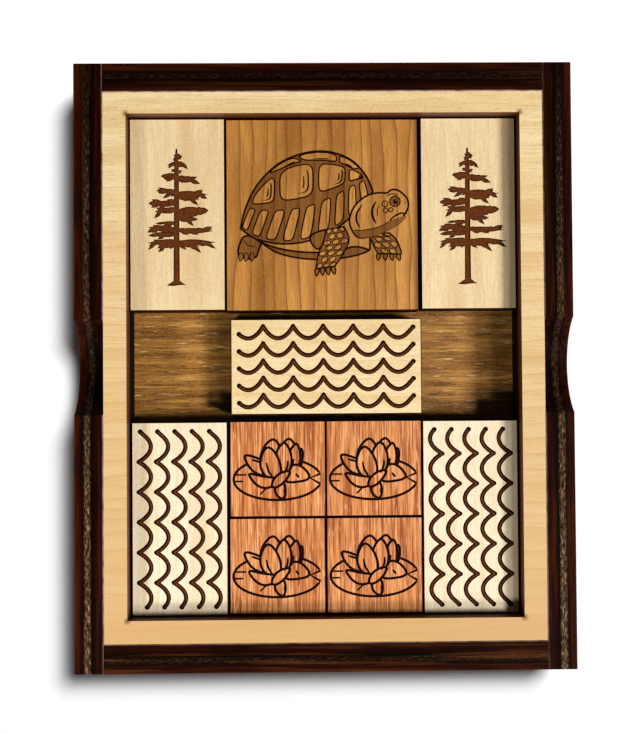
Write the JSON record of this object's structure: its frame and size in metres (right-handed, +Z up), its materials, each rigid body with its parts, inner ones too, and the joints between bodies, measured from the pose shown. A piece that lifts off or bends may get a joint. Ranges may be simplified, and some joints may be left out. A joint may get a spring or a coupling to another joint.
{
  "type": "sliding tile puzzle",
  "caption": "Sliding block puzzle: loose engraved wooden tiles of one, two and four cells in an open tray with a pale frame, dark rails and a finger scoop in each side rail.",
  "frame": {"origin": "centre of the tray's footprint, on the surface it rests on", "axes": "+X across the tray from the left rail to the right rail, +Y from the front rail to the rear rail behind the turtle tile, +Z up out of the well"},
  "size_m": [0.165, 0.201, 0.0227],
  "materials": {
    "dark_rail": "oiled dark brown wood with near black stripes, satin",
    "pale_frame": "sanded pale maple, laser-darkened cut edges, satin",
    "charred_wall": "laser-charred wall of the well, matt",
    "floor_veneer": "golden brown straight-grained veneer, satin",
    "tree_maple": "pale maple, engraved lines charred brown, satin",
    "turtle_cherry": "orange brown cherry, engraved lines charred brown, satin",
    "golden_maple": "warm maple, engraved lines charred brown, satin",
    "white_maple": "whitish maple, engraved lines charred brown, satin",
    "lily_redwood": "pinkish red streaked wood, engraved lines charred black, satin"
  },
  "bodies": {
    "tray": {"rail_left": "dark_rail", "rail_right": "dark_rail", "rail_rear": "dark_rail", "rail_front": "dark_rail", "top_frame": "pale_frame", "wall_strip_left": "charred_wall", "wall_strip_right": "charred_wall", "wall_strip_rear": "charred_wall", "wall_strip_front": "charred_wall", "floor_panel": "floor_veneer"},
    "tree_left": {"tile_tree_left": "tree_maple"},
    "tree_right": {"tile_tree_right": "tree_maple"},
    "turtle": {"tile_turtle": "turtle_cherry"},
    "wave_middle": {"tile_wave_middle": "golden_maple"},
    "wave_left": {"tile_wave_left": "white_maple"},
    "wave_right": {"tile_wave_right": "white_maple"},
    "lily_rear_left": {"tile_lily_rear_left": "lily_redwood"},
    "lily_rear_right": {"tile_lily_rear_right": "lily_redwood"},
    "lily_front_left": {"tile_lily_front_left": "lily_redwood"},
    "lily_front_right": {"tile_lily_front_right": "lily_redwood"}
  },
  "joints": [
    {"name": "wave_middle_slide", "type": "slide", "parent": "tray", "child": "wave_middle", "axis": [1, 0, 0], "range_m": [-0.0337, 0.0324]},
    {"name": "tree_left_slide", "type": "slide", "parent": "tray", "child": "tree_left", "axis": [0, -1, 0], "range_m": [0, 0.0371]},
    {"name": "tree_right_slide", "type": "slide", "parent": "tray", "child": "tree_right", "axis": [0, 1, 0], "range_m": [-0.0371, 0]},
    {"name": "turtle_lift", "type": "slide", "parent": "tray", "child": "turtle", "axis": [0, 0, 1], "range_m": [0, 0.025]},
    {"name": "wave_left_lift", "type": "slide", "parent": "tray", "child": "wave_left", "axis": [0, 0, 1], "range_m": [0, 0.025]},
    {"name": "wave_right_lift", "type": "slide", "parent": "tray", "child": "wave_right", "axis": [0, 0, 1], "range_m": [0, 0.025]},
    {"name": "lily_rear_left_lift", "type": "slide", "parent": "tray", "child": "lily_rear_left", "axis": [0, 0, 1], "range_m": [0, 0.025]},
    {"name": "lily_rear_right_lift", "type": "slide", "parent": "tray", "child": "lily_rear_right", "axis": [0, 0, 1], "range_m": [0, 0.025]},
    {"name": "lily_front_left_lift", "type": "slide", "parent": "tray", "child": "lily_front_left", "axis": [0, 0, 1], "range_m": [0, 0.025]},
    {"name": "lily_front_right_lift", "type": "slide", "parent": "tray", "child": "lily_front_right", "axis": [0, 0, 1], "range_m": [0, 0.025]}
  ]
}
